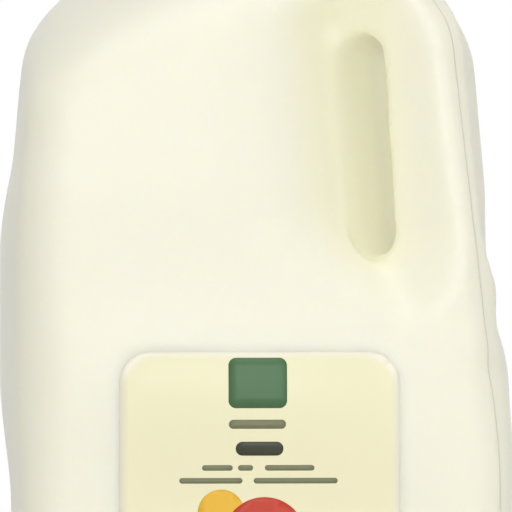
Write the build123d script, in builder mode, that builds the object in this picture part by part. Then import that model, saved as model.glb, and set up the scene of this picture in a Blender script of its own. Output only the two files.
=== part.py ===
from build123d import *
import os
from math import cos, hypot, pi, radians, sin, sqrt

os.makedirs("parts", exist_ok=True)

# A gallon milk jug, filled and capped, standing on its foot at the origin.
# Front (label face) is -Y, the handle stands at the front right corner (+X, -Y). Millimetres, +Z up.

# ---- body ----
wall_half = 70.9            # half the width across two side walls, measured at the corners
wall_top = 145.5            # height where the upright walls end and start to lean inward
shoulder_rise = 51.5        # from there up to the line where the walls meet the round dome
shoulder_inset = 4.4        # how far the walls have leaned in at that line
shoulder_softness = 17.5    # how widely the walls and the dome are blended
dome_rise = 32.0            # from that line up to the neck
dome_margin = 2.4           # how far outside the neck the dome ends
corner_radius = 14.0        # upright corners of the body
shoulder_corner = 24.0      # the same corners at the shoulder
corner_opening = 26.0       # height below the shoulder over which they widen
foot_radius = 12.0          # rounded edge around the bottom

# ---- swelling of the filled side walls ----
bulge_low = 0.8             # at the foot
bulge_full = 4.6            # at the belly
bulge_high = 1.2            # above the belly
bulge_starts = 48.0         # heights between which the swelling grows to full
bulge_grown = 90.0
bulge_fades = 128.0         # heights between which it dies away again, left and at the back
bulge_gone = 159.0
belly_top = 88.0            # the same beside the handle, at the front and on the right
belly_gone = 119.0

# ---- the two upper walls beside the handle, which turn inward towards it ----
turn_in = 0.064             # depth lost for each mm nearer to the handle
turn_start = 45.0           # distance from the middle of the wall where it starts to turn
turn_softness = 12.0
ledge_low = 58.0            # heights between which the turned walls run out over the belly
ledge_high = 128.0

# ---- bottom ----
push_up_half = 43.0         # half width of the recess under the foot
push_up_depth = 4.0
push_up_corner = 18.0
push_up_taper = 35.0

# ---- handle, lying in the upright plane through the front right corner ----
# inset = distance inward from the upright line where the two walls beside the handle would meet
grip_thickness = 19.2       # across the handle
grip_taper = 0.155          # thickness lost on each side for each mm outward
grip_root_inset = 40.3      # where the handle has its full thickness
grip_root_softness = 8.0
grip_edge = 3.6             # rounded outer edges of the handle
grip_inset = 10.0           # outside of the handle at its foot
grip_foot_height = 103.0
grip_lean = 0.15            # inset gained for each mm of height along the grip
crown_inset = 26.9          # a point on the line from the crown of the handle down to the neck
crown_rise = 3.0            # its height above the shoulder
arch_slope = 1.65           # inset gained for each mm of height on that line
crown_softness = 15.5
flare_height = 120.0        # below this the handle thickens into the body corner
flare_slope = 0.9           # thickness gained on each side for each mm downward
flare_softness = 14.0
handle_end_height = 97.0    # below this the body corner is left as it is
handle_end_fade = 1.5
handle_corner = 17.0        # upright corner of the body under the handle
handle_corner_top = 126.0   # height where it starts to open to the other corners' radius

# ---- soft seams between the handle and the body ----
foot_blend = 2.0
grip_blend = 8.0            # beside the grip
grip_root_height = 126.0    # height where the seam beside the grip is reached
arch_blend = 20.0           # between the arch and the dome
arch_rise = 40.0            # most that the arch may stand proud of the dome
arch_start_drop = 13.0      # heights below and above the shoulder between which it rises
arch_grown_rise = 9.0
outer_blend = 3.0
grip_rise = 8.0             # most that the grip may stand proud of the turned walls
grip_rise_start = 106.0
grip_rise_end = 136.0

# ---- hand pockets on both sides of the handle ----
pocket_inset = 57.5         # pocket wall beside the handle, at half height of the slot
pocket_height = 161.0
pocket_lean = 0.13          # inset gained for each mm of height
pocket_splay = 0.24         # inset lost for each mm away from the handle
pocket_floor_inset = 3.3    # a point on the sloping floor line
pocket_floor_height = 97.0
pocket_floor_slope = 1.55   # inset lost for each mm downward
pocket_roof_inset = 32.3    # a point on the sloping roof line
pocket_roof_rise = 14.0     # its height above the shoulder
pocket_roof_slope = 2.2
pocket_softness = 14.0      # soft bends inside the pocket
pocket_lip = 18.0           # soft edge where the pocket leaves the body walls

# ---- finger slot, a slanted stadium through the handle ----
slot_top_inset = 51.6
slot_top_drop = 14.0        # below the shoulder
slot_top_radius = 7.6
slot_foot_inset = 46.4
slot_foot_height = 133.2
slot_foot_radius = 6.6
slot_mouth = 4.6            # rounded edge of both mouths
slot_steps = 5              # flats that round each mouth
slot_overrun = 4.0          # how far the cut runs past the handle's sides

# ---- label panel and label on the front ----
panel_middle = -2.7         # the panel stands a little away from the handle
panel_half = 41.4
panel_foot = 18.5
panel_top = 100.0
panel_corner = 10.0
panel_depth = 1.2
label_margin = 1.2          # bare edge of the panel around the label
label_thickness = 0.3

# ---- neck, heights counted from the neck root ----
neck_radius = 18.0
neck_foot_rise = 3.2
collar_width = 7.4          # skirt of the neck where it rises out of the dome
collar_sink = 4.0
bead_width = 2.2            # ring that the cap's tamper band locks over
bead_foot_rise = 5.2
bead_top_rise = 7.2
neck_top_rise = 21.0

# ---- cap, heights counted from its own foot ----
cap_clearance = 0.15        # between the cap's skirt and the neck
cap_wall = 2.25
cap_gap = 0.4               # between the bead and the cap's foot
cap_top_thickness = 1.6
cap_edge = 1.2
cap_rib_radius = 0.45
cap_rib_count = 72
cap_rib_foot = 4.6
cap_rib_margin = 2.2        # bare edge above the ribs
band_groove_rise = 3.0      # groove between the tamper band and the cap
band_groove_width = 0.8
band_groove_depth = 0.6

# ---- how finely the outlines are taken ----
level_step = 4.8            # between outlines, along the side of the jug
foot_steps = 4              # outlines around the rounded foot
far_margin = 40.0           # how far the search for the surface starts outside the corner

# ---- sizes that follow from the others ----
shoulder_half = wall_half - shoulder_inset
shoulder_height = wall_top + shoulder_rise
neck_root_radius = neck_radius + dome_margin
neck_root_height = shoulder_height + dome_rise
neck_top = neck_root_height + neck_top_rise
cap_radius = neck_radius + cap_clearance + cap_wall
cap_foot = neck_root_height + bead_top_rise + cap_gap
cap_height = neck_top + cap_top_thickness - cap_foot

# reach = distance outward from the jug's axis towards the handle
corner_reach = wall_half * sqrt(2)
far = corner_reach + far_margin


def smooth_min(first, second, softness):
    """The smaller of two values, blended where they are closer than softness."""
    blend = max(0.0, 1.0 - abs(first - second) / softness)
    return min(first, second) - blend * blend * softness / 4


def smooth_max(first, second, softness):
    return -smooth_min(-first, -second, softness)


def smooth_step(start, end, value):
    share = min(1.0, max(0.0, (value - start) / (end - start)))
    return share * share * (3 - 2 * share)


def half_width(height):
    """Half the distance across two walls at one height: upright, then leaning inward."""
    lean = (wall_half - shoulder_half) / (shoulder_height - wall_top)
    return wall_half - max(0.0, height - wall_top) * lean


def dome_radius(height):
    """Radius of the round dome at one height."""
    slope = (shoulder_half - neck_root_radius) / (neck_root_height - shoulder_height)
    return shoulder_half - (height - shoulder_height) * slope


def corner(height):
    """Corner radius at one height: even on the body, opening towards the shoulder."""
    opened = smooth_step(shoulder_height - corner_opening, shoulder_height, height)
    return corner_radius + (shoulder_corner - corner_radius) * opened


def bulge(height, fades, gone):
    """Swelling at the middle of a side wall at one height."""
    grown = smooth_step(bulge_starts, bulge_grown, height)
    faded = smooth_step(fades, gone, height)
    return bulge_low + (bulge_full - bulge_low) * grown - (bulge_full - bulge_high) * faded


def over_wall(depth, along, height):
    """How far a point lies outside a wall; along runs away from the handle on a wall beside it."""
    half = half_width(height)
    crown = 1 - min(1.0, abs(along) / half) ** 2
    if depth < 0:
        return -depth - half - bulge(height, bulge_fades, bulge_gone) * crown
    return depth - half - bulge(height, belly_top, belly_gone) * crown


def turned(along, height):
    """How far a wall beside the handle is turned in at one place."""
    share = smooth_step(ledge_low, ledge_high, height)
    return turn_in * share * smooth_max(0.0, turn_start - along, turn_softness)


def grip_outside(height):
    """Reach of the handle's outside at one height."""
    grip = corner_reach - grip_inset - (height - grip_foot_height) * grip_lean
    arch = corner_reach - crown_inset - (height - shoulder_height - crown_rise) * arch_slope
    return smooth_min(grip, arch, crown_softness)


def handle_half(height):
    """Half the handle's thickness at one height: even along the grip, flared at its foot."""
    return grip_thickness / 2 + smooth_max(0.0, (flare_height - height) * flare_slope, flare_softness)


def pocket_wall(height):
    """Reach of the pocket wall right beside the handle at one height."""
    wall = pocket_inset + (height - pocket_height) * pocket_lean
    floor = pocket_floor_inset + (height - pocket_floor_height) * pocket_floor_slope
    roof = pocket_roof_inset - (height - shoulder_height - pocket_roof_rise) * pocket_roof_slope
    return corner_reach - smooth_min(smooth_min(wall, floor, pocket_softness), roof, pocket_softness)


def arched(height):
    """How far the handle has grown into its arch at one height, from 0 to 1."""
    return smooth_step(shoulder_height - arch_start_drop, shoulder_height + arch_grown_rise, height)


def seam(height):
    """Softness of the seam between handle and body at one height."""
    beside = smooth_step(grip_foot_height, grip_root_height, height)
    above = arched(height)
    return foot_blend + (grip_blend - foot_blend) * beside + (arch_blend - grip_blend) * above


def rounded_box(along, across_it, radius):
    """Signed distance to the corner of a box whose two faces lie at zero."""
    along += radius
    across_it += radius
    outside = hypot(max(along, 0.0), max(across_it, 0.0))
    return outside + min(max(along, across_it), 0.0) - radius


def field(reach, side, height):
    """Below zero inside the jug. reach runs towards the handle, side runs across it."""
    right = (reach + side) / sqrt(2)
    front = (reach - side) / sqrt(2)
    radius = corner(height)
    over_right = over_wall(right, -front, height)
    over_front = over_wall(front, -right, height)
    if right > 0:
        over_right += turned(-front, height)
    if front > 0:
        over_front += turned(-right, height)
    if right > 0 and front > 0:
        opened = smooth_step(handle_corner_top, shoulder_height, height)
        radius = min(radius, handle_corner + (radius - handle_corner) * opened)
    dome = hypot(reach, side) - dome_radius(height)
    walls = smooth_max(rounded_box(over_right, over_front, radius), dome, shoulder_softness)
    off_grip = abs(side) - grip_thickness / 2
    beyond = reach - pocket_wall(height) - max(0.0, off_grip) * pocket_splay
    body = smooth_max(walls, beyond, pocket_lip)
    if reach <= 0:
        return body
    faded = max(0.0, handle_end_height - height) * handle_end_fade
    outside = reach - grip_outside(height)
    past_root = reach - (corner_reach - grip_root_inset)
    tapered = abs(side) + smooth_max(0.0, past_root, grip_root_softness) * grip_taper
    handle = rounded_box(tapered - handle_half(height), outside, grip_edge) + faded
    proud = arch_rise * arched(height)
    proud += grip_rise * smooth_step(grip_rise_start, grip_rise_end, height)
    ridge = smooth_max(rounded_box(over_right, over_front, grip_edge), dome, shoulder_softness)
    handle = smooth_max(handle, ridge - proud, outer_blend)
    whole = smooth_min(body, handle, seam(height))
    return smooth_max(whole, outside - faded, outer_blend)


def radius_at(angle, height, inset):
    """Distance from the axis to the surface at one angle from the handle."""
    low = 0.0
    high = far
    for _ in range(36):
        middle = (low + high) / 2
        if field(middle * cos(angle), middle * sin(angle), height) < -inset:
            low = middle
        else:
            high = middle
    return low


# Angles from the handle at which every level outline is taken, closer together beside the handle
# and around the corners of the body
half_turn = (
    [step * 1.25 for step in range(0, 21)]
    + [27.0 + step * 2.0 for step in range(0, 12)]
    + [52.0 + step * 4.0 for step in range(0, 7)]
    + [78.0 + step * 2.0 for step in range(0, 13)]
    + [106.0 + step * 4.0 for step in range(0, 15)]
    + [164.0 + step * 2.0 for step in range(0, 8)]
)
turn = [radians(angle) for angle in half_turn if angle < 180]
turn = turn + [radians(180)] + [radians(360) - angle for angle in reversed(turn) if angle > 0]
knots = [angle for angle in turn] + [radians(360)]


def level_outline(height, inset):
    """Outline of the jug at one height, without the finger slot."""
    points = []
    for angle in turn:
        radius = radius_at(angle, height, inset)
        reach = radius * cos(angle)
        side = radius * sin(angle)
        points.append(((reach + side) / sqrt(2), (side - reach) / sqrt(2)))
    with BuildSketch(Plane.XY.offset(height)) as outline:
        with BuildLine():
            add(Edge.make_spline([Vector(*point) for point in points], periodic=True, parameters=knots))
        make_face()
    return outline.sketch


def level_list():
    """Heights and insets of the outlines: around the foot, then evenly up the side to the neck."""
    found = []
    for step in range(foot_steps):
        angle = pi / 2 * step / foot_steps
        found.append((foot_radius * (1 - cos(angle)), foot_radius * (1 - sin(angle))))
    height = foot_radius
    walked = level_step
    fine = level_step / 50
    while height < neck_root_height - level_step / 4:
        if walked >= level_step:
            found.append((height, 0.0))
            walked = 0.0
        inward = min(half_width(height), dome_radius(height))
        inward -= min(half_width(height + fine), dome_radius(height + fine))
        walked += hypot(fine, inward)
        height += fine
    found.append((neck_root_height, 0.0))
    return found


across = Vector(1, 1, 0).normalized()
outward = Vector(1, -1, 0).normalized()
front = Vector(0, -1, 0)
handle_plane = Plane(origin=(0, 0, 0), x_dir=outward, z_dir=across * -1)


def slot_outline(distance, growth, shift):
    """Outline of the finger slot at one distance from the middle of the handle."""
    with BuildSketch(handle_plane.offset(distance)) as outline:
        with Locations((corner_reach - slot_top_inset + shift, shoulder_height - slot_top_drop)):
            Circle(slot_top_radius + growth)
        with Locations((corner_reach - slot_foot_inset + shift, slot_foot_height)):
            Circle(slot_foot_radius + growth)
        make_hull()
    return outline.sketch


def slot_sections():
    """The slot from its middle out through one mouth, opening round the grip's inner edge."""
    half = grip_thickness / 2
    found = []
    for step in range(slot_steps + 1):
        angle = pi / 2 * step / slot_steps
        growth = slot_mouth / 2 * (1 - cos(angle))
        found.append((half - slot_mouth + slot_mouth * sin(angle), growth, growth))
    found.append((half + slot_overrun, slot_mouth / 2, slot_mouth / 2 + slot_overrun * pocket_splay))
    return found


def panel_sketch(margin):
    """Front view of the label panel, brought in by a margin."""
    with BuildSketch(Plane.XZ) as outline:
        with Locations((panel_middle, (panel_foot + panel_top) / 2)):
            RectangleRounded(
                2 * (panel_half - margin),
                panel_top - panel_foot - 2 * margin,
                panel_corner - margin,
            )
    return outline.sketch


levels = level_list()
panel_levels = [level for level in levels if level[0] < panel_top + 4 * level_step and level[0] >= foot_radius]

# Solid jug shapes that end at the panel's floor and at the label's face
with BuildPart() as panel_floor:
    loft([level_outline(height, panel_depth) for height, inset in panel_levels])

with BuildPart() as label_face:
    loft([level_outline(height, panel_depth - label_thickness) for height, inset in panel_levels])

with BuildPart() as panel_cut:
    extrude(panel_sketch(0.0), amount=far, dir=front)
    add(panel_floor.part, mode=Mode.SUBTRACT)

# Finger slot through the handle
with BuildPart() as slot:
    with BuildSketch(handle_plane) as middle:
        add(slot_outline(0.0, 0.0, 0.0))
    extrude(amount=grip_thickness / 2 - slot_mouth, both=True)
    loft([slot_outline(distance, growth, shift) for distance, growth, shift in slot_sections()], ruled=True)
    loft([slot_outline(-distance, growth, shift) for distance, growth, shift in slot_sections()], ruled=True)

with BuildPart() as jug:
    loft([level_outline(height, inset) for height, inset in levels])
    split(bisect_by=Plane.XY, keep=Keep.TOP)
    with BuildSketch(Plane.XZ) as neck:
        with BuildLine():
            Polyline(
                (0, neck_root_height - collar_sink),
                (neck_radius + collar_width, neck_root_height - collar_sink),
                (neck_radius, neck_root_height + neck_foot_rise),
                (neck_radius, neck_root_height + bead_foot_rise),
                (neck_radius + bead_width, neck_root_height + bead_foot_rise),
                (neck_radius + bead_width, neck_root_height + bead_top_rise),
                (neck_radius, neck_root_height + bead_top_rise),
                (neck_radius, neck_top),
                (0, neck_top),
                close=True,
            )
        make_face()
    revolve(axis=Axis.Z)
    with BuildSketch(Plane.XY) as push_up:
        RectangleRounded(2 * push_up_half, 2 * push_up_half, push_up_corner)
    extrude(amount=push_up_depth, taper=push_up_taper, mode=Mode.SUBTRACT)
    add(panel_cut.part, mode=Mode.SUBTRACT)
    add(slot.part, mode=Mode.SUBTRACT)

with BuildPart() as label:
    extrude(panel_sketch(label_margin), amount=far, dir=front)
    add(label_face.part, mode=Mode.INTERSECT)
    add(panel_floor.part, mode=Mode.SUBTRACT)

with BuildPart() as cap:
    with BuildSketch(Plane.XY.offset(cap_foot)) as skirt:
        Circle(cap_radius)
    extrude(amount=cap_height)
    fillet(cap.edges().group_by(Axis.Z)[-1], cap_edge)
    with BuildSketch(Plane.XY.offset(cap_foot + cap_rib_foot)) as ribs:
        with PolarLocations(cap_radius, cap_rib_count):
            Circle(cap_rib_radius)
    extrude(amount=cap_height - cap_rib_foot - cap_rib_margin)
    with BuildSketch(Plane.XY.offset(cap_foot + band_groove_rise)) as groove:
        Circle(cap_radius)
        Circle(cap_radius - band_groove_depth, mode=Mode.SUBTRACT)
    extrude(amount=band_groove_width, mode=Mode.SUBTRACT)
    with BuildSketch(Plane.XY.offset(cap_foot)) as socket:
        Circle(neck_radius + cap_clearance)
    extrude(amount=neck_top - cap_foot, mode=Mode.SUBTRACT)

jug.part.label = "jug"
label.part.label = "label"
cap.part.label = "cap"
export_step(jug.part, "parts/jug.step")
export_step(label.part, "parts/label.step")
export_step(cap.part, "parts/cap.step")
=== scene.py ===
import math

import bmesh
import bpy
from bpy.props import FloatProperty, FloatVectorProperty, IntProperty, PointerProperty
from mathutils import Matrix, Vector
from mathutils.bvhtree import BVHTree


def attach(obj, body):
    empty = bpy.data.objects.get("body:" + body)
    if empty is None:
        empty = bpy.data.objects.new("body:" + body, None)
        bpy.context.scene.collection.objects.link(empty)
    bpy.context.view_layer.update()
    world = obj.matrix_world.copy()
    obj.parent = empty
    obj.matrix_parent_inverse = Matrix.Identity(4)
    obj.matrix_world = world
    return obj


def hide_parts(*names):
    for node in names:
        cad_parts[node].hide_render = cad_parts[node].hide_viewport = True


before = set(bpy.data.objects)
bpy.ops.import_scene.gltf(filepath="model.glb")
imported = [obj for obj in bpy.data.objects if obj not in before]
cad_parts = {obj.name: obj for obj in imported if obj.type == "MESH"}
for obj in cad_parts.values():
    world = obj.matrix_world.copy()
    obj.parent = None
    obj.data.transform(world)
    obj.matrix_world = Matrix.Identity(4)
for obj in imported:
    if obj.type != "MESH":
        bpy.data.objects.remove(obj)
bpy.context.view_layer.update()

bl_info = {
    "name": "Plastic Milk Jug",
    "version": (1, 0, 0),
    "blender": (4, 5, 0),
    "location": "3D View > Sidebar > Milk Jug",
    "description": "Builds a filled plastic milk jug with its cap, label and studio",
    "category": "Add Mesh",
}

MM = 0.001

RAY_START = 0.2             # distance from the jug's axis at which a search ray starts, in metres
MERGE_DISTANCE = 1e-6       # points of a CAD mesh closer than this become one

# Where the jug takes painted light in its hand pockets and slot: a yellower, brighter tint that stands
# in for light bounced inside them
WALL_HALF = 71 * MM         # half the distance between opposite walls, before they swell
POCKET_START = 6 * MM       # depths behind the wall between which the colour comes in
POCKET_FULL = 26 * MM
POCKET_FOOT = 108 * MM      # height where it starts, and how far it takes to come in
POCKET_FOOT_FADE = 18 * MM
POCKET_TOP = 212 * MM       # height where it is gone, and how far it takes to go
POCKET_TOP_FADE = 14 * MM
POCKET_INNER = 30 * MM      # reach towards the handle where it starts
POCKET_INNER_FADE = 14 * MM
GRIP_INNER = 60 * MM        # reach where the handle starts to take the plain colour again
GRIP_INNER_FADE = 12 * MM

BEAD_FOOT = 8 * MM          # heights between which the parting bead runs
BEAD_TOP = 226 * MM
BEAD_STEP = 2.2 * MM
BEAD_SINK = 0.55            # share of its radius by which the bead's middle is sunk

# Films. A lift below zero sinks the back of a film into what it lies on
LABEL_LIFT = -0.1 * MM
LABEL_THICKNESS = 0.25 * MM
PRINT_LIFT = -0.02 * MM
PRINT_THICKNESS = 0.06 * MM
HILL_EXTRA = 0.02 * MM      # the hill is thicker by this, because it crosses the sun
FILM_GRID = 3 * MM          # width of the strips that let a film follow a curved surface
FILM_LAST_STRIP = 0.3       # smallest share of a strip that is cut off at the end
FILM_MERGE = 1e-7
FRONT_FACING = 0.5          # faces turned to the front more than this are shaded smooth

BAR_ROUNDNESS = 0.98        # radius of a bar's ends as a share of half its height
HILL_CORNER = 1.6 * MM      # radius of the hill's lower corners
HILL_FULLNESS = 0.85        # below 1 the hill is fuller than half an ellipse

# Plain bars of the print, in millimetres: name, ink, left, right, foot, top
PRINT_BARS = (
    ("print_bar_thin", "olive ink", -11.6, 4.8, 76.9, 79.5),
    ("print_bar_bold", "dark ink", -9.6, 4.1, 69.2, 73.2),
    ("print_line_1a", "olive ink", -19.2, -10.4, 64.9, 66.5),
    ("print_line_1b", "olive ink", -8.9, -4.6, 64.9, 66.5),
    ("print_line_1c", "olive ink", -1.2, 13.0, 64.9, 66.5),
    ("print_line_2a", "olive ink", -25.7, -7.6, 61.2, 62.8),
    ("print_line_2b", "olive ink", -4.4, 19.7, 61.2, 62.8),
    ("print_line_3a", "olive ink", -14.0, -5.2, 31.0, 32.8),
    ("print_line_3b", "olive ink", -3.6, 8.4, 31.0, 32.8),
)
PRINT_BADGE = (-11.7, 5.1, 82.8, 97.2, 2.2)     # left, right, foot, top, corner radius
PRINT_SUN = (-13.7, 52.8, 6.7)                  # middle across, middle height, radius
PRINT_HILL = (-13.5, 11.0, 41.0, 57.3)          # left, right, foot, top

# The cap, in millimetres. Heights are measured up from its lower edge
CAP_SEGMENTS = 144          # flats around the cap
CAP_SOCKET = 18.2           # radius and depth of the socket over the neck
CAP_SOCKET_DEPTH = 6.0
CAP_GROOVE = 0.6            # depth of the groove above the tamper band, and its heights
CAP_GROOVE_FOOT = 3.05
CAP_GROOVE_TOP = 3.75
CAP_RIM = 3.0               # width of the cap's top edge outside its shallow dish
CAP_DISH = 0.42             # depth of the dish
CAP_RIB_FOOT = 4.4
CAP_RIB_LENGTH = 9.0
CAP_RIB_RADIUS = 0.42
CAP_BRIDGE_HEIGHT = 3.4     # middle of the groove
CAP_BRIDGE_SIZE = 0.8

# The studio, in metres
FLOOR_HALF = 3.0
# Lamps: name, place, width, height and the setting that holds the power
LAMPS = (
    ("left lamp", (-1.15, -1.15, 0.55), 0.9, 0.9, "left_lamp"),
    ("front lamp", (-0.1, -1.7, 0.45), 1.0, 0.8, "front_lamp"),
    ("right lamp", (1.15, -1.15, 0.45), 0.8, 0.8, "right_lamp"),
    ("top lamp", (-0.1, -0.3, 1.5), 1.0, 1.0, "top_lamp"),
)
WHITE = (1.0, 1.0, 1.0, 1.0)


# ---------------------------------------------------------------- settings


class MilkJugBodySettings(bpy.types.PropertyGroup):
    """Sizes and colours of the milky jug."""

    weave: FloatProperty(
        name="Skin Fineness",
        description="Size of the facets that make the jug's skin",
        default=1.35 * MM,
        min=0.8 * MM,
        max=4.0 * MM,
        subtype="DISTANCE",
        unit="LENGTH",
    )
    soften: IntProperty(
        name="Softening",
        description="How often the skin is relaxed, which rounds every moulded edge",
        default=5,
        min=0,
        max=40,
    )
    colour: FloatVectorProperty(
        name="Milky Plastic",
        description="Colour of the filled jug",
        default=(0.955, 0.925, 0.765),
        size=3,
        subtype="COLOR",
        min=0.0,
        max=1.0,
    )
    # Painted light: a yellower, brighter tint that stands in for light bounced inside the hand pockets
    # and the slot
    painted_pocket_light_colour: FloatVectorProperty(
        name="Painted Pocket Light",
        description="Colour of the jug inside the hand pockets and the slot",
        default=(1.0, 0.972, 0.75),
        size=3,
        subtype="COLOR",
        min=0.0,
        max=1.0,
    )
    bead: FloatProperty(
        name="Parting Bead",
        description="Radius of the thin bead where the two halves of the mould met",
        default=0.25 * MM,
        subtype="DISTANCE",
        unit="LENGTH",
    )
    roughness: FloatProperty(
        name="Roughness",
        description="Roughness of the jug's surface",
        default=0.42,
        min=0.0,
        max=1.0,
        subtype="FACTOR",
    )


class MilkJugLabelSettings(bpy.types.PropertyGroup):
    """Sizes and colours of the label and its print."""

    width: FloatProperty(
        name="Label Width",
        description="Width of the label film",
        default=80.4 * MM,
        subtype="DISTANCE",
        unit="LENGTH",
    )
    foot: FloatProperty(
        name="Label Foot",
        description="Height of the label's lower edge",
        default=19.7 * MM,
        subtype="DISTANCE",
        unit="LENGTH",
    )
    top: FloatProperty(
        name="Label Top",
        description="Height of the label's upper edge",
        default=98.8 * MM,
        subtype="DISTANCE",
        unit="LENGTH",
    )
    corner: FloatProperty(
        name="Label Corner",
        description="Radius of the label's corners",
        default=8.8 * MM,
        subtype="DISTANCE",
        unit="LENGTH",
    )
    centre: FloatProperty(
        name="Label Middle",
        description="Place of the label's middle across the front",
        default=-2.7 * MM,
        subtype="DISTANCE",
        unit="LENGTH",
    )
    fade: FloatProperty(
        name="Edge Fade",
        description="Width over which the film's colour fades out towards its edges",
        default=2.2 * MM,
        subtype="DISTANCE",
        unit="LENGTH",
    )
    film_colour: FloatVectorProperty(
        name="Label Film",
        description="Colour of the label film",
        default=(0.905, 0.86, 0.58),
        size=3,
        subtype="COLOR",
        min=0.0,
        max=1.0,
    )
    badge_colour: FloatVectorProperty(
        name="Badge",
        description="Colour of the plain badge at the top of the label",
        default=(0.060, 0.155, 0.060),
        size=3,
        subtype="COLOR",
        min=0.0,
        max=1.0,
    )
    soft_colour: FloatVectorProperty(
        name="Thin Bars",
        description="Colour of the thin bars below the badge",
        default=(0.19, 0.20, 0.105),
        size=3,
        subtype="COLOR",
        min=0.0,
        max=1.0,
    )
    line_colour: FloatVectorProperty(
        name="Lines",
        description="Colour of the plain bars below the badge",
        default=(0.045, 0.05, 0.03),
        size=3,
        subtype="COLOR",
        min=0.0,
        max=1.0,
    )
    sun_colour: FloatVectorProperty(
        name="Sun",
        description="Colour of the round sun",
        default=(0.87, 0.50, 0.035),
        size=3,
        subtype="COLOR",
        min=0.0,
        max=1.0,
    )
    hill_colour: FloatVectorProperty(
        name="Hill",
        description="Colour of the red hill",
        default=(0.58, 0.045, 0.02),
        size=3,
        subtype="COLOR",
        min=0.0,
        max=1.0,
    )


class MilkJugCapSettings(bpy.types.PropertyGroup):
    """Sizes and colour of the screw cap."""

    radius: FloatProperty(
        name="Cap Radius",
        description="Radius of the cap between its ribs",
        default=20.4 * MM,
        subtype="DISTANCE",
        unit="LENGTH",
    )
    foot: FloatProperty(
        name="Cap Foot",
        description="Height of the cap's lower edge",
        default=236.6 * MM,
        subtype="DISTANCE",
        unit="LENGTH",
    )
    height: FloatProperty(
        name="Cap Height",
        description="Height of the cap with its tamper band",
        default=15.0 * MM,
        subtype="DISTANCE",
        unit="LENGTH",
    )
    ribs: IntProperty(
        name="Ribs",
        description="Number of grip ribs around the cap",
        default=72,
        min=12,
        max=180,
    )
    bridges: IntProperty(
        name="Band Bridges",
        description="Number of small bridges that hold the tamper band",
        default=24,
        min=4,
        max=60,
    )
    colour: FloatVectorProperty(
        name="Cap Plastic",
        description="Colour of the cap",
        default=(0.55, 0.018, 0.022),
        size=3,
        subtype="COLOR",
        min=0.0,
        max=1.0,
    )


class MilkJugStageSettings(bpy.types.PropertyGroup):
    """Camera and lamps of the plain studio."""

    distance: FloatProperty(
        name="Camera Distance",
        description="Distance of the camera from the jug's axis",
        default=1.943,
        subtype="DISTANCE",
        unit="LENGTH",
    )
    aim: FloatProperty(
        name="Camera Height",
        description="Height of the camera and of the point it looks at",
        default=126.3 * MM,
        subtype="DISTANCE",
        unit="LENGTH",
    )
    lens: FloatProperty(
        name="Lens",
        description="Focal length for a 36 mm wide sensor",
        default=459.9,
        subtype="DISTANCE_CAMERA",
        unit="CAMERA",
    )
    swing: FloatProperty(
        name="Camera Swing",
        description="How far the camera stands round towards the jug's left",
        default=math.radians(3.3),
        subtype="ANGLE",
        unit="ROTATION",
    )
    sidestep: FloatProperty(
        name="Camera Sidestep",
        description="How far the camera is moved sideways from facing the jug's axis",
        default=0.4 * MM,
        subtype="DISTANCE",
        unit="LENGTH",
    )
    floor_near: FloatProperty(
        name="Floor Near",
        description="Distance from the jug where the floor starts to fade into the white room",
        default=0.35,
        subtype="DISTANCE",
        unit="LENGTH",
    )
    floor_far: FloatProperty(
        name="Floor Far",
        description="Distance from the jug where the floor has become white",
        default=1.1,
        subtype="DISTANCE",
        unit="LENGTH",
    )
    left_lamp: FloatProperty(
        name="Left Lamp",
        description="Power of the large lamp at the front left",
        default=0.6,
        min=0.0,
        subtype="POWER",
        unit="POWER",
    )
    front_lamp: FloatProperty(
        name="Front Lamp",
        description="Power of the large lamp in front",
        default=7.9,
        min=0.0,
        subtype="POWER",
        unit="POWER",
    )
    right_lamp: FloatProperty(
        name="Right Lamp",
        description="Power of the large lamp at the front right",
        default=3.2,
        min=0.0,
        subtype="POWER",
        unit="POWER",
    )
    top_lamp: FloatProperty(
        name="Top Lamp",
        description="Power of the large lamp overhead",
        default=6.0,
        min=0.0,
        subtype="POWER",
        unit="POWER",
    )
    world: FloatProperty(
        name="World Light",
        description="Strength of the even light from all around",
        default=0.38,
        min=0.0,
    )


# ---------------------------------------------------------------- helpers


def new_material(name, colour, roughness, subsurface=0.0, specular=0.5):
    """A plain principled material and its node tree."""
    material = bpy.data.materials.new(name)
    material.use_nodes = True
    tree = material.node_tree
    shader = tree.nodes["Principled BSDF"]
    shader.inputs["Base Color"].default_value = (*colour, 1.0)
    shader.inputs["Roughness"].default_value = roughness
    shader.inputs["Specular IOR Level"].default_value = specular
    shader.inputs["Subsurface Weight"].default_value = subsurface
    return material, tree, shader


def add_grain(tree, shader, scale, strength, distance):
    """Gives a material a fine uneven surface."""
    nodes = tree.nodes
    link = tree.links.new
    place = nodes.new("ShaderNodeTexCoord")
    grain = nodes.new("ShaderNodeTexNoise")
    grain.inputs["Scale"].default_value = scale
    bump = nodes.new("ShaderNodeBump")
    bump.inputs["Strength"].default_value = strength
    bump.inputs["Distance"].default_value = distance
    link(place.outputs["Object"], grain.inputs["Vector"])
    link(grain.outputs["Fac"], bump.inputs["Height"])
    link(bump.outputs["Normal"], shader.inputs["Normal"])


def link_mesh(name, mesh):
    """Puts a mesh into the scene as an object at the origin."""
    piece = bpy.data.objects.new(name, mesh)
    bpy.context.scene.collection.objects.link(piece)
    return piece


def bake(piece, name):
    """Turns a piece and its live modifiers into a plain mesh."""
    graph = bpy.context.evaluated_depsgraph_get()
    graph.update()
    mesh = bpy.data.meshes.new_from_object(piece.evaluated_get(graph))
    mesh.name = name
    piece.modifiers.clear()
    piece.data = mesh


def finish_piece(piece, slot_name, *nodes):
    """Ties a piece to the jug's body and hides any CAD node it stands for; the material slot name is
    not used.
    """
    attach(piece, "root")
    if nodes:
        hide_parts(*nodes)


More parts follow.
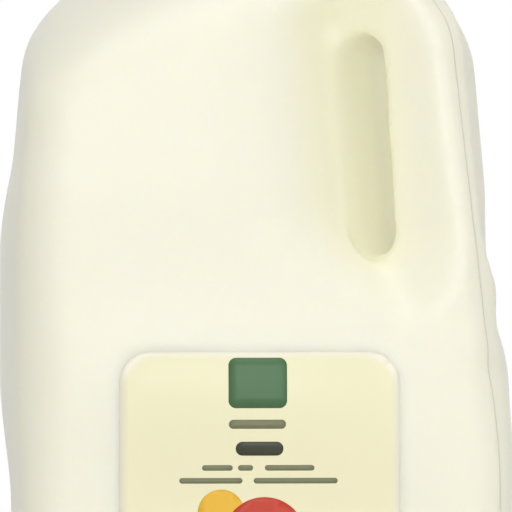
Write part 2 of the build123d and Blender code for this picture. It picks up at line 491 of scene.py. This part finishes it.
def merged_copy(node, name):
    """A merged copy of a CAD node's mesh, in place."""
    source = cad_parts[node]
    work = bmesh.new()
    work.from_mesh(source.data)
    bmesh.ops.remove_doubles(work, verts=work.verts, dist=MERGE_DISTANCE)
    mesh = bpy.data.meshes.new(name)
    work.to_mesh(mesh)
    work.free()
    return mesh


def tree_of(piece):
    """Search tree over a plain mesh piece."""
    return BVHTree.FromObject(piece, bpy.context.evaluated_depsgraph_get())


# ---------------------------------------------------------------- jug


def soften_tree():
    """Node tree that relaxes a skin, smooths its shading and gives it its material."""
    tree = bpy.data.node_groups.new("Soft Moulded Skin", "GeometryNodeTree")
    face = tree.interface
    face.new_socket("Geometry", in_out="INPUT", socket_type="NodeSocketGeometry")
    face.new_socket("Repeats", in_out="INPUT", socket_type="NodeSocketInt")
    face.new_socket("Plastic", in_out="INPUT", socket_type="NodeSocketMaterial")
    face.new_socket("Geometry", in_out="OUTPUT", socket_type="NodeSocketGeometry")
    nodes = tree.nodes
    start = nodes.new("NodeGroupInput")
    place = nodes.new("GeometryNodeInputPosition")
    blur = nodes.new("GeometryNodeBlurAttribute")
    blur.data_type = "FLOAT_VECTOR"
    move = nodes.new("GeometryNodeSetPosition")
    smooth = nodes.new("GeometryNodeSetShadeSmooth")
    real = nodes.new("GeometryNodeRealizeInstances")
    paint = nodes.new("GeometryNodeSetMaterial")
    end = nodes.new("NodeGroupOutput")
    link = tree.links.new
    link(start.outputs["Geometry"], move.inputs["Geometry"])
    link(place.outputs["Position"], blur.inputs["Value"])
    link(start.outputs["Repeats"], blur.inputs["Iterations"])
    link(blur.outputs["Value"], move.inputs["Position"])
    link(move.outputs["Geometry"], smooth.inputs["Geometry"])
    link(smooth.outputs["Geometry"], real.inputs["Geometry"])
    link(real.outputs["Geometry"], paint.inputs["Geometry"])
    link(start.outputs["Plastic"], paint.inputs["Material"])
    link(paint.outputs["Geometry"], end.inputs["Geometry"])
    return tree


def set_input(modifier, name, value):
    """Sets a node tree's input by the identifier of its socket."""
    for item in modifier.node_group.interface.items_tree:
        if item.item_type == "SOCKET" and item.in_out == "INPUT" and item.name == name:
            modifier[item.identifier] = value
            return
    raise RuntimeError(f"no input named {name}")


def jug_material(settings):
    """Milky plastic with painted light inside the pockets and slot, a yellower, brighter tint standing
    in for light bounced there, and with the unevenness of blown plastic.
    """
    material, tree, shader = new_material(
        "milky plastic", settings.colour, settings.roughness, subsurface=0.45
    )
    shader.inputs["Subsurface Radius"].default_value = (1.0, 0.85, 0.5)
    shader.inputs["Subsurface Scale"].default_value = 10 * MM
    nodes = tree.nodes
    link = tree.links.new
    place = nodes.new("ShaderNodeTexCoord")
    # painted light: the stored pocket share mixes in a yellower, brighter tint for light bounced inside
    # the pockets and slot
    deep = nodes.new("ShaderNodeAttribute")
    deep.attribute_name = "deep"
    tint = nodes.new("ShaderNodeMix")
    tint.data_type = "RGBA"
    tint.inputs["A"].default_value = (*settings.colour, 1.0)
    tint.inputs["B"].default_value = (*settings.painted_pocket_light_colour, 1.0)
    link(deep.outputs["Fac"], tint.inputs["Factor"])
    link(tint.outputs["Result"], shader.inputs["Base Color"])
    wave = nodes.new("ShaderNodeTexNoise")
    wave.inputs["Scale"].default_value = 38.0
    wave.inputs["Detail"].default_value = 2.0
    grain = nodes.new("ShaderNodeTexNoise")
    grain.inputs["Scale"].default_value = 900.0
    grain.inputs["Detail"].default_value = 1.0
    link(place.outputs["Object"], wave.inputs["Vector"])
    link(place.outputs["Object"], grain.inputs["Vector"])
    bump = nodes.new("ShaderNodeBump")
    bump.inputs["Strength"].default_value = 0.25
    bump.inputs["Distance"].default_value = 1.0 * MM
    fine = nodes.new("ShaderNodeBump")
    fine.inputs["Strength"].default_value = 0.12
    fine.inputs["Distance"].default_value = 0.1 * MM
    link(wave.outputs["Fac"], bump.inputs["Height"])
    link(grain.outputs["Fac"], fine.inputs["Height"])
    link(bump.outputs["Normal"], fine.inputs["Normal"])
    link(fine.outputs["Normal"], shader.inputs["Normal"])
    return material


def ramp(start, end, value):
    """0 below start, 1 above end, smooth between them."""
    share = min(1.0, max(0.0, (value - start) / (end - start)))
    return share * share * (3 - 2 * share)


def paint_pocket_light(mesh):
    """Stores on each point the share of painted light inside the hand pockets and the slot, growing
    with how far the point lies behind the walls.
    """
    deep = mesh.attributes.new("deep", "FLOAT", "POINT")
    values = []
    for vert in mesh.vertices:
        x, y, z = vert.co
        inset = min(WALL_HALF - x, WALL_HALF + y)
        share = ramp(POCKET_START, POCKET_FULL, inset)
        share *= ramp(POCKET_FOOT, POCKET_FOOT + POCKET_FOOT_FADE, z)
        share *= 1 - ramp(POCKET_TOP - POCKET_TOP_FADE, POCKET_TOP, z)
        reach = (x - y) / math.sqrt(2)
        share *= ramp(POCKET_INNER, POCKET_INNER + POCKET_INNER_FADE, reach)
        share *= 1 - ramp(GRIP_INNER, GRIP_INNER + GRIP_INNER_FADE, reach)
        values.append(share)
    deep.data.foreach_set("value", values)


def bead_tree():
    """Node tree that sweeps a thin round bead along a path of edges."""
    tree = bpy.data.node_groups.new("Bead Along Path", "GeometryNodeTree")
    face = tree.interface
    face.new_socket("Geometry", in_out="INPUT", socket_type="NodeSocketGeometry")
    face.new_socket("Radius", in_out="INPUT", socket_type="NodeSocketFloat")
    face.new_socket("Plastic", in_out="INPUT", socket_type="NodeSocketMaterial")
    face.new_socket("Geometry", in_out="OUTPUT", socket_type="NodeSocketGeometry")
    nodes = tree.nodes
    link = tree.links.new
    start = nodes.new("NodeGroupInput")
    path = nodes.new("GeometryNodeMeshToCurve")
    ring = nodes.new("GeometryNodeCurvePrimitiveCircle")
    ring.inputs["Resolution"].default_value = 8
    sweep = nodes.new("GeometryNodeCurveToMesh")
    sweep.inputs["Fill Caps"].default_value = True
    smooth = nodes.new("GeometryNodeSetShadeSmooth")
    real = nodes.new("GeometryNodeRealizeInstances")
    paint = nodes.new("GeometryNodeSetMaterial")
    end = nodes.new("NodeGroupOutput")
    link(start.outputs["Geometry"], path.inputs["Mesh"])
    link(start.outputs["Radius"], ring.inputs["Radius"])
    link(path.outputs["Curve"], sweep.inputs["Curve"])
    link(ring.outputs["Curve"], sweep.inputs["Profile Curve"])
    link(sweep.outputs["Mesh"], smooth.inputs["Geometry"])
    link(smooth.outputs["Geometry"], real.inputs["Geometry"])
    link(real.outputs["Geometry"], paint.inputs["Geometry"])
    link(start.outputs["Plastic"], paint.inputs["Material"])
    link(paint.outputs["Geometry"], end.inputs["Geometry"])
    return tree


def parting_path(surface, sink):
    """Edges down the jug's outside in the upright plane through the handle, on both sides."""
    work = bmesh.new()
    for sign in (1, -1):
        outward = Vector((sign, -sign, 0)).normalized()
        last = None
        height = BEAD_FOOT
        while height < BEAD_TOP:
            start = outward * RAY_START + Vector((0, 0, height))
            hit = surface.ray_cast(start, -outward)
            if hit[0] is None:
                raise RuntimeError("the parting line runs off the jug")
            vert = work.verts.new(hit[0] - hit[1] * sink)
            if last:
                work.edges.new((last, vert))
            last = vert
            height += BEAD_STEP
    mesh = bpy.data.meshes.new("parting_bead")
    work.to_mesh(mesh)
    work.free()
    return mesh


class MILKJUG_OT_body(bpy.types.Operator):
    """Build the milky jug with its neck, handle, finger slot and parting bead"""

    bl_idname = "milkjug.body"
    bl_label = "Build Jug"

    def execute(self, context):
        settings = context.scene.milkjug_body
        piece = link_mesh("jug_skin", merged_copy("jug", "jug_skin"))
        remesh = piece.modifiers.new("even skin", "REMESH")
        remesh.mode = "VOXEL"
        remesh.voxel_size = settings.weave
        soften = piece.modifiers.new("soft edges", "NODES")
        soften.node_group = soften_tree()
        set_input(soften, "Repeats", settings.soften)
        set_input(soften, "Plastic", jug_material(settings))
        bake(piece, "jug_skin")
        paint_pocket_light(piece.data)
        finish_piece(piece, "milky_plastic", "jug")
        path = parting_path(tree_of(piece), settings.bead * BEAD_SINK)
        bead = link_mesh("parting_bead", path)
        sweep = bead.modifiers.new("bead", "NODES")
        sweep.node_group = bead_tree()
        set_input(sweep, "Radius", settings.bead)
        set_input(sweep, "Plastic", piece.data.materials[0])
        bake(bead, "parting_bead")
        finish_piece(bead, "milky_plastic")
        return {"FINISHED"}


# ---------------------------------------------------------------- label


def rounded_rectangle(left, right, foot, top, radius, steps=10):
    """Outline points of a rounded rectangle, seen from the front."""
    points = []
    centres = (
        (right - radius, top - radius, 0),
        (left + radius, top - radius, 90),
        (left + radius, foot + radius, 180),
        (right - radius, foot + radius, 270),
    )
    for x, z, start in centres:
        for step in range(steps + 1):
            angle = math.radians(start + 90 * step / steps)
            points.append((x + radius * math.cos(angle), z + radius * math.sin(angle)))
    return points


def disc(x, z, radius, steps=48):
    """Outline points of a circle."""
    return [
        (x + radius * math.cos(2 * math.pi * s / steps), z + radius * math.sin(2 * math.pi * s / steps))
        for s in range(steps)
    ]


def film(name, outline, surface, lift, thickness, material):
    """A thin closed film with the given front outline, laid onto the surface behind it."""
    work = bmesh.new()
    verts = [work.verts.new((x, 0.0, z)) for x, z in outline]
    work.faces.new(verts)
    xs = [x for x, z in outline]
    zs = [z for x, z in outline]
    cut = min(xs) + FILM_GRID
    while cut < max(xs) - FILM_GRID * FILM_LAST_STRIP:
        whole = list(work.verts) + list(work.edges) + list(work.faces)
        bmesh.ops.bisect_plane(work, geom=whole, plane_co=(cut, 0, 0), plane_no=(1, 0, 0))
        cut += FILM_GRID
    cut = min(zs) + FILM_GRID
    while cut < max(zs) - FILM_GRID * FILM_LAST_STRIP:
        whole = list(work.verts) + list(work.edges) + list(work.faces)
        bmesh.ops.bisect_plane(work, geom=whole, plane_co=(0, 0, cut), plane_no=(0, 0, 1))
        cut += FILM_GRID
    bmesh.ops.remove_doubles(work, verts=work.verts, dist=FILM_MERGE)
    for face in work.faces:
        face.normal_update()
        if face.normal.y > 0:
            face.normal_flip()
    for vert in work.verts:
        hit = surface.ray_cast(Vector((vert.co.x, -RAY_START, vert.co.z)), Vector((0, 1, 0)))
        if hit[0] is None:
            raise RuntimeError(f"{name} hangs over the edge of the jug")
        vert.co.y = hit[0].y - lift
    made = bmesh.ops.extrude_face_region(work, geom=list(work.faces))
    moved = [item for item in made["geom"] if isinstance(item, bmesh.types.BMVert)]
    bmesh.ops.translate(work, verts=moved, vec=(0, -thickness, 0))
    bmesh.ops.recalc_face_normals(work, faces=work.faces)
    mesh = bpy.data.meshes.new(name)
    work.to_mesh(mesh)
    work.free()
    mesh.materials.append(material)
    for polygon in mesh.polygons:
        polygon.use_smooth = abs(polygon.normal.y) > FRONT_FACING
    return link_mesh(name, mesh)


def edge_share(tree, settings):
    """Nodes that give 1 at the label's edge and 0 further in."""
    nodes = tree.nodes
    link = tree.links.new

    def maths(operation, first, second=None):
        node = nodes.new("ShaderNodeMath")
        node.operation = operation
        for socket, value in zip(node.inputs, (first, second)):
            if isinstance(value, float):
                socket.default_value = value
            elif value is not None:
                link(value, socket)
        return node.outputs[0]

    place = nodes.new("ShaderNodeTexCoord")
    parts = nodes.new("ShaderNodeSeparateXYZ")
    link(place.outputs["Object"], parts.inputs[0])
    middle = (settings.foot + settings.top) / 2
    half_height = (settings.top - settings.foot) / 2
    radius = settings.corner + settings.fade
    sideways = maths("ABSOLUTE", maths("SUBTRACT", parts.outputs["X"], settings.centre))
    upward = maths("ABSOLUTE", maths("SUBTRACT", parts.outputs["Z"], middle))
    sideways = maths("SUBTRACT", sideways, settings.width / 2 - radius)
    upward = maths("SUBTRACT", upward, half_height - radius)
    out_side = maths("MAXIMUM", sideways, 0.0)
    out_up = maths("MAXIMUM", upward, 0.0)
    square = maths("ADD", maths("MULTIPLY", out_side, out_side), maths("MULTIPLY", out_up, out_up))
    inner = maths("MINIMUM", maths("MAXIMUM", sideways, upward), 0.0)
    distance = maths("SUBTRACT", maths("ADD", maths("SQRT", square), inner), radius)
    share = nodes.new("ShaderNodeMapRange")
    share.interpolation_type = "SMOOTHSTEP"
    share.inputs["From Min"].default_value = -settings.fade
    share.inputs["From Max"].default_value = 0.0
    link(distance, share.inputs["Value"])
    return share.outputs["Result"]


def label_material(settings, jug_colour):
    """Cream film that takes the jug's colour towards its edges."""
    material, tree, shader = new_material("label film", settings.film_colour, 0.4)
    link = tree.links.new
    tint = tree.nodes.new("ShaderNodeMix")
    tint.data_type = "RGBA"
    tint.inputs["A"].default_value = (*settings.film_colour, 1.0)
    tint.inputs["B"].default_value = (*jug_colour, 1.0)
    link(edge_share(tree, settings), tint.inputs["Factor"])
    link(tint.outputs["Result"], shader.inputs["Base Color"])
    add_grain(tree, shader, scale=260.0, strength=0.1, distance=0.1 * MM)
    return material


class MILKJUG_OT_label(bpy.types.Operator):
    """Lay the cream label film into the panel on the front"""

    bl_idname = "milkjug.label"
    bl_label = "Build Label"

    def execute(self, context):
        settings = context.scene.milkjug_label
        material = label_material(settings, context.scene.milkjug_body.colour)
        left = settings.centre - settings.width / 2
        right = settings.centre + settings.width / 2
        outline = rounded_rectangle(left, right, settings.foot, settings.top, settings.corner)
        skin = tree_of(bpy.data.objects["jug_skin"])
        piece = film("label_film", outline, skin, LABEL_LIFT, LABEL_THICKNESS, material)
        finish_piece(piece, "label_film", "label")
        return {"FINISHED"}


def bar(left, right, foot, top):
    """Outline points of a bar with round ends."""
    return rounded_rectangle(left, right, foot, top, (top - foot) / 2 * BAR_ROUNDNESS, steps=5)


def hill(left, right, foot, top, steps=40, corner_steps=6):
    """Outline points of a round hill with a level foot and softly turned lower corners."""
    turn = HILL_CORNER
    points = []
    for step in range(steps + 1):
        angle = math.pi * step / steps
        x = (left + right) / 2 + (right - left) / 2 * math.cos(angle)
        z = foot + turn + (top - foot - turn) * math.sin(angle) ** HILL_FULLNESS
        points.append((x, z))
    for step in range(1, corner_steps + 1):
        angle = math.pi + math.pi / 2 * step / corner_steps
        points.append((left + turn + turn * math.cos(angle), foot + turn + turn * math.sin(angle)))
    for step in range(corner_steps):
        angle = 3 * math.pi / 2 + math.pi / 2 * step / corner_steps
        points.append((right - turn + turn * math.cos(angle), foot + turn + turn * math.sin(angle)))
    return points


class MILKJUG_OT_print(bpy.types.Operator):
    """Print the plain badge, bars, sun and hill on the label"""

    bl_idname = "milkjug.print"
    bl_label = "Build Print"

    def execute(self, context):
        settings = context.scene.milkjug_label
        surface = tree_of(bpy.data.objects["label_film"])
        inks = {}
        for name, colour in (
            ("green ink", settings.badge_colour),
            ("olive ink", settings.soft_colour),
            ("dark ink", settings.line_colour),
            ("yellow ink", settings.sun_colour),
            ("red ink", settings.hill_colour),
        ):
            material, tree, shader = new_material(name, colour, 0.42)
            add_grain(tree, shader, scale=700.0, strength=0.1, distance=0.05 * MM)
            inks[name] = material
        marks = []
        for name, ink, left, right, foot, top in PRINT_BARS:
            marks.append((name, ink, bar(left * MM, right * MM, foot * MM, top * MM)))
        badge = rounded_rectangle(*(size * MM for size in PRINT_BADGE))
        marks.append(("print_badge", "green ink", badge))
        marks.append(("print_sun", "yellow ink", disc(*(size * MM for size in PRINT_SUN))))
        marks.append(("print_hill", "red ink", hill(*(size * MM for size in PRINT_HILL))))
        for name, ink, outline in marks:
            thickness = PRINT_THICKNESS + (HILL_EXTRA if name == "print_hill" else 0.0)
            piece = film(name, outline, surface, PRINT_LIFT, thickness, inks[ink])
            finish_piece(piece, "label_film")
        return {"FINISHED"}


# ---------------------------------------------------------------- cap


def lathe(name, profile, steps):
    """A closed body turned around the upright axis; the profile runs from the axis to the axis."""
    work = bmesh.new()
    rings = []
    for radius, height in profile:
        if radius == 0.0:
            rings.append([work.verts.new((0.0, 0.0, height))])
            continue
        ring = []
        for step in range(steps):
            angle = 2 * math.pi * step / steps
            ring.append(work.verts.new((radius * math.cos(angle), radius * math.sin(angle), height)))
        rings.append(ring)
    for lower, upper in zip(rings, rings[1:]):
        for step in range(steps):
            after = (step + 1) % steps
            if len(lower) == 1:
                work.faces.new((lower[0], upper[after], upper[step]))
            elif len(upper) == 1:
                work.faces.new((lower[step], lower[after], upper[0]))
            else:
                work.faces.new((lower[step], lower[after], upper[after], upper[step]))
    bmesh.ops.recalc_face_normals(work, faces=work.faces)
    mesh = bpy.data.meshes.new(name)
    work.to_mesh(mesh)
    work.free()
    return mesh


def rib_tree():
    """Node tree that sets ribs and bridges around the cap and joins them to it."""
    tree = bpy.data.node_groups.new("Ribbed Cap", "GeometryNodeTree")
    face = tree.interface
    face.new_socket("Geometry", in_out="INPUT", socket_type="NodeSocketGeometry")
    for name in ("Ribs", "Bridges"):
        face.new_socket(name, in_out="INPUT", socket_type="NodeSocketInt")
    for name in ("Radius", "Rib Foot", "Rib Length", "Rib Radius", "Bridge Height", "Bridge Size"):
        face.new_socket(name, in_out="INPUT", socket_type="NodeSocketFloat")
    face.new_socket("Plastic", in_out="INPUT", socket_type="NodeSocketMaterial")
    face.new_socket("Geometry", in_out="OUTPUT", socket_type="NodeSocketGeometry")
    nodes = tree.nodes
    link = tree.links.new
    start = nodes.new("NodeGroupInput")
    join = nodes.new("GeometryNodeJoinGeometry")

    def ring(count, radius, height):
        circle = nodes.new("GeometryNodeMeshCircle")
        link(start.outputs[count], circle.inputs["Vertices"])
        link(radius, circle.inputs["Radius"])
        lift = nodes.new("ShaderNodeCombineXYZ")
        link(height, lift.inputs["Z"])
        raised = nodes.new("GeometryNodeTransform")
        link(circle.outputs["Mesh"], raised.inputs["Geometry"])
        link(lift.outputs["Vector"], raised.inputs["Translation"])
        return raised.outputs["Geometry"]

    half = nodes.new("ShaderNodeMath")
    half.operation = "MULTIPLY_ADD"
    half.inputs[1].default_value = 0.5
    link(start.outputs["Rib Length"], half.inputs[0])
    link(start.outputs["Rib Foot"], half.inputs[2])
    rib = nodes.new("GeometryNodeMeshUVSphere")
    rib.inputs["Segments"].default_value = 10
    rib.inputs["Rings"].default_value = 8
    link(start.outputs["Rib Radius"], rib.inputs["Radius"])
    stretch = nodes.new("ShaderNodeMath")
    stretch.operation = "DIVIDE"
    link(start.outputs["Rib Length"], stretch.inputs[0])
    link(start.outputs["Rib Radius"], stretch.inputs[1])
    halved = nodes.new("ShaderNodeMath")
    halved.operation = "MULTIPLY"
    halved.inputs[1].default_value = 0.5
    link(stretch.outputs[0], halved.inputs[0])
    scale = nodes.new("ShaderNodeCombineXYZ")
    scale.inputs["X"].default_value = 1.0
    scale.inputs["Y"].default_value = 1.0
    link(halved.outputs[0], scale.inputs["Z"])
    ribs = nodes.new("GeometryNodeInstanceOnPoints")
    link(ring("Ribs", start.outputs["Radius"], half.outputs[0]), ribs.inputs["Points"])
    link(rib.outputs["Mesh"], ribs.inputs["Instance"])
    link(scale.outputs["Vector"], ribs.inputs["Scale"])
    bridge = nodes.new("GeometryNodeMeshCube")
    box = nodes.new("ShaderNodeCombineXYZ")
    for axis in "XYZ":
        link(start.outputs["Bridge Size"], box.inputs[axis])
    link(box.outputs["Vector"], bridge.inputs["Size"])
    bridges = nodes.new("GeometryNodeInstanceOnPoints")
    inner = nodes.new("ShaderNodeMath")
    inner.operation = "SUBTRACT"
    link(start.outputs["Radius"], inner.inputs[0])
    link(start.outputs["Bridge Size"], inner.inputs[1])
    low = ring("Bridges", inner.outputs[0], start.outputs["Bridge Height"])
    link(low, bridges.inputs["Points"])
    link(bridge.outputs["Mesh"], bridges.inputs["Instance"])
    real = nodes.new("GeometryNodeRealizeInstances")
    smooth = nodes.new("GeometryNodeSetShadeSmooth")
    paint = nodes.new("GeometryNodeSetMaterial")
    end = nodes.new("NodeGroupOutput")
    link(ribs.outputs["Instances"], join.inputs["Geometry"])
    link(bridges.outputs["Instances"], join.inputs["Geometry"])
    link(start.outputs["Geometry"], join.inputs["Geometry"])
    link(join.outputs["Geometry"], real.inputs["Geometry"])
    link(real.outputs["Geometry"], smooth.inputs["Geometry"])
    link(smooth.outputs["Geometry"], paint.inputs["Geometry"])
    link(start.outputs["Plastic"], paint.inputs["Material"])
    link(paint.outputs["Geometry"], end.inputs["Geometry"])
    return tree


def cap_profile(radius, foot, top):
    """Half the cap's section in millimetres, from the axis in the socket to the axis on top."""
    groove = radius - CAP_GROOVE
    rim = radius - CAP_RIM
    return [
        (0.0, foot + CAP_SOCKET_DEPTH),
        (CAP_SOCKET, foot + CAP_SOCKET_DEPTH),
        (CAP_SOCKET, foot + 0.3),
        (CAP_SOCKET + 0.4, foot),
        # tamper band
        (radius - 0.4, foot),
        (radius - 0.05, foot + 0.12),
        (radius, foot + 0.45),
        (radius, foot + CAP_GROOVE_FOOT - 0.3),
        (radius - 0.12, foot + CAP_GROOVE_FOOT - 0.1),
        # groove
        (groove, foot + CAP_GROOVE_FOOT),
        (groove, foot + CAP_GROOVE_TOP),
        (radius - 0.12, foot + CAP_GROOVE_TOP + 0.1),
        (radius, foot + CAP_GROOVE_TOP + 0.3),
        # upright wall, whose first ring keeps the shading of the groove's edge narrow
        (radius, foot + CAP_GROOVE_TOP + 0.55),
        (radius, top - 1.3),
        # rounded top edge
        (radius - 0.12, top - 0.72),
        (radius - 0.45, top - 0.3),
        (radius - 1.0, top - 0.05),
        (radius - 1.4, top),
        (rim, top),
        # shallow dish
        (rim - 0.3, top - 0.08),
        (rim - 0.6, top - 0.35),
        (rim - 1.0, top - CAP_DISH),
        (0.0, top - CAP_DISH),
    ]


class MILKJUG_OT_cap(bpy.types.Operator):
    """Build the ribbed screw cap with its tamper band"""

    bl_idname = "milkjug.cap"
    bl_label = "Build Cap"

    def execute(self, context):
        settings = context.scene.milkjug_cap
        foot = settings.foot / MM
        top = foot + settings.height / MM
        profile = [(r * MM, z * MM) for r, z in cap_profile(settings.radius / MM, foot, top)]
        piece = link_mesh("cap_shell", lathe("cap_shell", profile, CAP_SEGMENTS))
        material, tree, shader = new_material("cap plastic", settings.colour, 0.34)
        add_grain(tree, shader, scale=900.0, strength=0.2, distance=0.08 * MM)
        ribs = piece.modifiers.new("ribs", "NODES")
        ribs.node_group = rib_tree()
        set_input(ribs, "Ribs", settings.ribs)
        set_input(ribs, "Bridges", settings.bridges)
        set_input(ribs, "Radius", settings.radius)
        set_input(ribs, "Rib Foot", settings.foot + CAP_RIB_FOOT * MM)
        set_input(ribs, "Rib Length", CAP_RIB_LENGTH * MM)
        set_input(ribs, "Rib Radius", CAP_RIB_RADIUS * MM)
        set_input(ribs, "Bridge Height", settings.foot + CAP_BRIDGE_HEIGHT * MM)
        set_input(ribs, "Bridge Size", CAP_BRIDGE_SIZE * MM)
        set_input(ribs, "Plastic", material)
        bake(piece, "cap_shell")
        finish_piece(piece, "cap_plastic", "cap")
        return {"FINISHED"}


# ---------------------------------------------------------------- studio


def area_lamp(name, place, target, width, height, power):
    """A soft rectangular lamp at a place, turned to a target."""
    data = bpy.data.lights.new(name, "AREA")
    data.shape = "RECTANGLE"
    data.size = width
    data.size_y = height
    data.energy = power
    lamp = bpy.data.objects.new(name, data)
    lamp.location = place
    lamp.rotation_euler = (Vector(target) - Vector(place)).to_track_quat("-Z", "Y").to_euler()
    bpy.context.scene.collection.objects.link(lamp)
    return lamp


def seen_directly(tree):
    """Nodes that give 1 for a ray from the camera, off a mirror or through glass."""
    nodes = tree.nodes
    link = tree.links.new
    path = nodes.new("ShaderNodeLightPath")
    first = nodes.new("ShaderNodeMath")
    first.operation = "MAXIMUM"
    second = nodes.new("ShaderNodeMath")
    second.operation = "MAXIMUM"
    link(path.outputs["Is Camera Ray"], first.inputs[0])
    link(path.outputs["Is Glossy Ray"], first.inputs[1])
    link(first.outputs[0], second.inputs[0])
    link(path.outputs["Is Transmission Ray"], second.inputs[1])
    return second.outputs[0]


def white_room(settings):
    """World that lights evenly and is white where it is seen."""
    world = bpy.data.worlds.new("white room")
    world.use_nodes = True
    tree = world.node_tree
    nodes = tree.nodes
    link = tree.links.new
    even = nodes["Background"]
    even.inputs["Color"].default_value = WHITE
    even.inputs["Strength"].default_value = settings.world
    white = nodes.new("ShaderNodeBackground")
    white.inputs["Color"].default_value = WHITE
    white.inputs["Strength"].default_value = 1.0
    mix = nodes.new("ShaderNodeMixShader")
    link(seen_directly(tree), mix.inputs["Fac"])
    link(even.outputs["Background"], mix.inputs[1])
    link(white.outputs["Background"], mix.inputs[2])
    link(mix.outputs["Shader"], nodes["World Output"].inputs["Surface"])
    return world


def floor_material(settings):
    """Pale floor that keeps the jug's shadow near it and fades to white further off."""
    material, tree, shader = new_material("pale floor", (0.9, 0.9, 0.9), 0.6)
    nodes = tree.nodes
    link = tree.links.new
    place = nodes.new("ShaderNodeTexCoord")
    away = nodes.new("ShaderNodeVectorMath")
    away.operation = "LENGTH"
    fade = nodes.new("ShaderNodeMapRange")
    fade.interpolation_type = "SMOOTHSTEP"
    fade.inputs["From Min"].default_value = settings.floor_near
    fade.inputs["From Max"].default_value = settings.floor_far
    both = nodes.new("ShaderNodeMath")
    both.operation = "MULTIPLY"
    glow = nodes.new("ShaderNodeEmission")
    glow.inputs["Color"].default_value = WHITE
    glow.inputs["Strength"].default_value = 1.0
    mix = nodes.new("ShaderNodeMixShader")
    link(place.outputs["Object"], away.inputs[0])
    link(away.outputs["Value"], fade.inputs["Value"])
    link(fade.outputs["Result"], both.inputs[0])
    link(seen_directly(tree), both.inputs[1])
    link(both.outputs[0], mix.inputs["Fac"])
    link(shader.outputs["BSDF"], mix.inputs[1])
    link(glow.outputs["Emission"], mix.inputs[2])
    link(mix.outputs["Shader"], nodes["Material Output"].inputs["Surface"])
    return material


def pale_floor(settings):
    """The flat square floor that the jug stands on."""
    mesh = bpy.data.meshes.new("floor")
    work = bmesh.new()
    bmesh.ops.create_grid(work, x_segments=1, y_segments=1, size=FLOOR_HALF)
    work.to_mesh(mesh)
    work.free()
    floor = link_mesh("floor", mesh)
    mesh.materials.append(floor_material(settings))
    return floor


def level_camera(settings):
    """A level camera that stands round towards the jug's left and looks past its axis."""
    data = bpy.data.cameras.new("camera")
    data.lens = settings.lens
    data.sensor_width = 36.0
    data.clip_start = 0.01
    data.clip_end = 20.0
    camera = bpy.data.objects.new("camera", data)
    back = settings.distance
    step = settings.sidestep
    camera.location = (
        -math.sin(settings.swing) * back + math.cos(settings.swing) * step,
        -math.cos(settings.swing) * back - math.sin(settings.swing) * step,
        settings.aim,
    )
    camera.rotation_euler = (math.radians(90), 0.0, -settings.swing)
    bpy.context.scene.collection.objects.link(camera)
    return camera


class MILKJUG_OT_stage(bpy.types.Operator):
    """Set up the white room, the pale floor, the soft lamps and the camera"""

    bl_idname = "milkjug.stage"
    bl_label = "Build Stage"

    def execute(self, context):
        settings = context.scene.milkjug_stage
        scene = context.scene
        scene.view_settings.view_transform = "Standard"
        scene.world = white_room(settings)
        floor = pale_floor(settings)
        target = (0.0, 0.0, settings.aim)
        lamps = [
            area_lamp(name, place, target, width, height, getattr(settings, power))
            for name, place, width, height, power in LAMPS
        ]
        camera = level_camera(settings)
        scene.camera = camera
        return {"FINISHED"}


# ---------------------------------------------------------------- panel


class MILKJUG_PT_panel(bpy.types.Panel):
    """Sidebar panel with the jug's pieces"""

    bl_idname = "MILKJUG_PT_panel"
    bl_label = "Milk Jug"
    bl_space_type = "VIEW_3D"
    bl_region_type = "UI"
    bl_category = "Milk Jug"

    def draw(self, context):
        layout = self.layout
        groups = (
            ("milkjug_body", ("milkjug.body",)),
            ("milkjug_label", ("milkjug.label", "milkjug.print")),
            ("milkjug_cap", ("milkjug.cap",)),
            ("milkjug_stage", ("milkjug.stage",)),
        )
        for group, operators in groups:
            box = layout.box()
            settings = getattr(context.scene, group)
            for name in settings.__annotations__:
                box.prop(settings, name)
            for operator in operators:
                box.operator(operator)


CLASSES = (
    MilkJugBodySettings,
    MilkJugLabelSettings,
    MilkJugCapSettings,
    MilkJugStageSettings,
    MILKJUG_OT_body,
    MILKJUG_OT_label,
    MILKJUG_OT_print,
    MILKJUG_OT_cap,
    MILKJUG_OT_stage,
    MILKJUG_PT_panel,
)


def register():
    for made in CLASSES:
        bpy.utils.register_class(made)
    bpy.types.Scene.milkjug_body = PointerProperty(type=MilkJugBodySettings)
    bpy.types.Scene.milkjug_label = PointerProperty(type=MilkJugLabelSettings)
    bpy.types.Scene.milkjug_cap = PointerProperty(type=MilkJugCapSettings)
    bpy.types.Scene.milkjug_stage = PointerProperty(type=MilkJugStageSettings)


def unregister():
    del bpy.types.Scene.milkjug_stage
    del bpy.types.Scene.milkjug_cap
    del bpy.types.Scene.milkjug_label
    del bpy.types.Scene.milkjug_body
    for made in reversed(CLASSES):
        bpy.utils.unregister_class(made)


def main():
    register()
    bpy.ops.milkjug.body()
    bpy.ops.milkjug.label()
    bpy.ops.milkjug.print()
    bpy.ops.milkjug.cap()
    bpy.ops.milkjug.stage()


if __name__ == "__main__":
    main()
